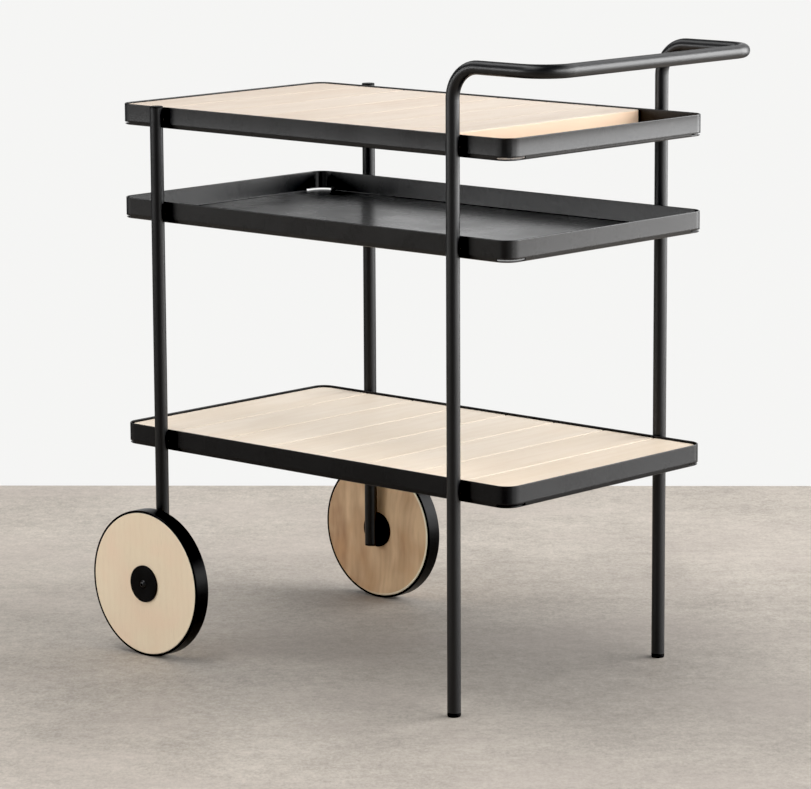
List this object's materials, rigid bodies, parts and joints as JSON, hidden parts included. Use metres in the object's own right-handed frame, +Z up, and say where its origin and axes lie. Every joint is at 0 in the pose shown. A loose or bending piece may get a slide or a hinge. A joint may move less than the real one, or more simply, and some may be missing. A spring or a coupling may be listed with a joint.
{
  "type": "bar cart",
  "caption": "Bar cart with a bent black tube frame, shallow steel trays, plank boards in the top and bottom ones, and solid timber wheels at one end.",
  "frame": {"origin": "centre of the footprint, on the floor that the wheels and feet stand on", "axes": "+X from the wheels to the push handle, +Y to the far side, +Z up"},
  "size_m": [0.849, 0.5362, 0.9],
  "materials": {
    "frame_steel": "satin black powder coat",
    "tray_steel": "satin black powder coat",
    "plank_wood": "pale wood, lightly oiled",
    "batten_wood": "plain sawn wood",
    "wheel_wood": "pale wood, matt varnish",
    "tyre_rubber": "matt black",
    "foot_rubber": "matt black",
    "hub_plastic": "satin black",
    "plug_plastic": "matt black",
    "black_fixings": "black oxide",
    "zinc_fixings": "zinc plated"
  },
  "bodies": {
    "frame": {"handle_frame": "frame_steel", "wheel_leg_near": "frame_steel", "wheel_leg_far": "frame_steel", "leg_top_plug_near": "plug_plastic", "leg_top_plug_far": "plug_plastic", "leg_end_plug_near": "plug_plastic", "leg_end_plug_far": "plug_plastic", "foot_near": "foot_rubber", "foot_far": "foot_rubber", "top_tray": "tray_steel", "middle_tray": "tray_steel", "bottom_tray": "tray_steel", "bottom_plank_1": "plank_wood", "bottom_plank_2": "plank_wood", "bottom_plank_3": "plank_wood", "bottom_plank_4": "plank_wood", "bottom_plank_5": "plank_wood", "bottom_plank_6": "plank_wood", "bottom_plank_7": "plank_wood", "bottom_plank_8": "plank_wood", "bottom_batten_near": "batten_wood", "bottom_batten_far": "batten_wood", "bottom_board_screws": "zinc_fixings", "axle_spacer_near": "hub_plastic", "axle_spacer_far": "hub_plastic", "axle_bolt_near": "black_fixings", "axle_bolt_far": "black_fixings", "axle_boss_near": "frame_steel", "axle_boss_far": "frame_steel", "handle_leg_inserts": "zinc_fixings", "wheel_leg_inserts_near": "zinc_fixings", "wheel_leg_inserts_far": "zinc_fixings", "top_tray_screws": "black_fixings", "middle_tray_screws": "black_fixings", "bottom_tray_screws": "black_fixings"},
    "near_wheel": {"wheel_disc_near": "wheel_wood", "tyre_near": "tyre_rubber", "outer_hub_bush_near": "hub_plastic", "inner_hub_bush_near": "hub_plastic"},
    "far_wheel": {"wheel_disc_far": "wheel_wood", "tyre_far": "tyre_rubber", "outer_hub_bush_far": "hub_plastic", "inner_hub_bush_far": "hub_plastic"},
    "top_board": {"top_plank_1": "plank_wood", "top_plank_2": "plank_wood", "top_plank_3": "plank_wood", "top_plank_4": "plank_wood", "top_plank_5": "plank_wood", "top_plank_6": "plank_wood", "top_plank_7": "plank_wood", "top_batten_near": "batten_wood", "top_batten_far": "batten_wood", "top_board_screws": "zinc_fixings"}
  },
  "joints": [
    {"name": "near_wheel_roll", "type": "hinge", "parent": "frame", "child": "near_wheel", "pos_m": [-0.317, -0.24975, 0.1075], "axis": [0, 1, 0], "continuous": true},
    {"name": "far_wheel_roll", "type": "hinge", "parent": "frame", "child": "far_wheel", "pos_m": [-0.317, 0.24975, 0.1075], "axis": [0, 1, 0], "continuous": true},
    {"name": "top_board_slide", "type": "slide", "parent": "frame", "child": "top_board", "axis": [1, 0, 0], "range_m": [0, 0.1]}
  ]
}
